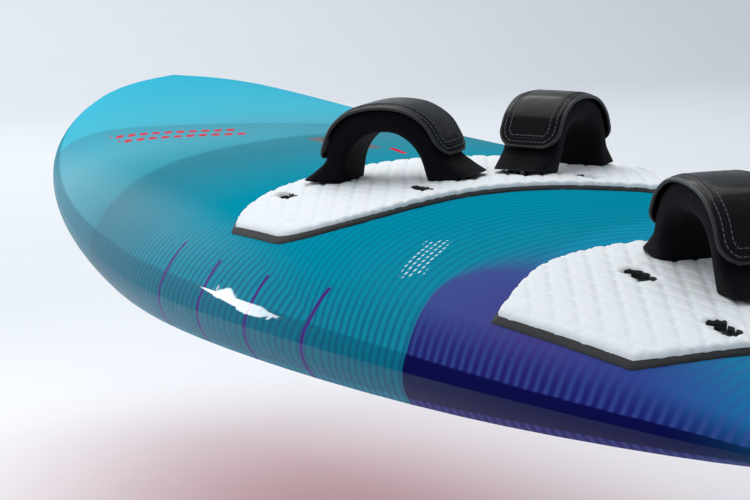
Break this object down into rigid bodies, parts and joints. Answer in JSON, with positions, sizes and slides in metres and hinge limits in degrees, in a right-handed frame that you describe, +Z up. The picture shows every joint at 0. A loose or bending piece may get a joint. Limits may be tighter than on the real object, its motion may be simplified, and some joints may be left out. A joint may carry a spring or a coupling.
{
  "type": "windsurf board",
  "caption": "Windsurf board with scooped nose, textured deck pads, padded foot straps over screw-hole rows, mast track, vent screw and a raked fin.",
  "frame": {"origin": "middle of the mast track's slot, on the deck", "axes": "+X towards the nose, +Y to port, +Z up from the deck"},
  "size_m": [2.3387, 0.6806, 0.5941],
  "materials": {
    "core_foam": "bare expanded foam",
    "deck_lacquer": "gloss lacquer over a printed laminate, teal fading to violet at the tail",
    "bottom_lacquer": "gloss coral lacquer",
    "black_plastic": "moulded",
    "steel": "brushed",
    "ring_rubber": "matt",
    "brass": "machined",
    "fin_laminate": "polished fibre laminate",
    "pad_black": "closed-cell foam, bevelled rim",
    "pad_white": "closed-cell foam, embossed with small blocks",
    "strap_webbing": "woven tape",
    "strap_neoprene": "neoprene, finely knitted face",
    "strap_leather": "grained, half-gloss, stitched and bound"
  },
  "bodies": {
    "board": {"foam_core": "core_foam", "deck_shell": "deck_lacquer", "bottom_shell": "bottom_lacquer", "strap_plugs": "black_plastic", "mast_track_box": "black_plastic", "vent_insert": "black_plastic", "fin_box": "black_plastic", "fin_bolt": "steel", "fin_insert": "brass", "fin_head": "fin_laminate", "fin_blade": "fin_laminate", "front_pad_base": "pad_black", "front_pad_top": "pad_white", "rear_pad_base": "pad_black", "rear_pad_top": "pad_white", "strap_plates": "steel", "strap_washers": "steel", "strap_screws": "steel", "port_front_strap_webbing": "strap_webbing", "port_front_strap_padding": "strap_neoprene", "port_front_strap_cover": "strap_leather", "starboard_front_strap_webbing": "strap_webbing", "starboard_front_strap_padding": "strap_neoprene", "starboard_front_strap_cover": "strap_leather", "rear_strap_webbing": "strap_webbing", "rear_strap_padding": "strap_neoprene", "rear_strap_cover": "strap_leather"},
    "mast_nut": {"mast_nut": "steel"},
    "vent_screw": {"vent_screw": "black_plastic", "vent_o_ring": "ring_rubber"}
  },
  "joints": [
    {"name": "mast_nut_slide", "type": "slide", "parent": "board", "child": "mast_nut", "axis": [0.9999, 0, 0.0137], "range_m": [-0.056, 0.056]},
    {"name": "vent_screw_turn", "type": "hinge", "parent": "board", "child": "vent_screw", "pos_m": [-0.265, 0, -0.00378], "axis": [-0.0162, 0, 0.9999], "continuous": true}
  ]
}
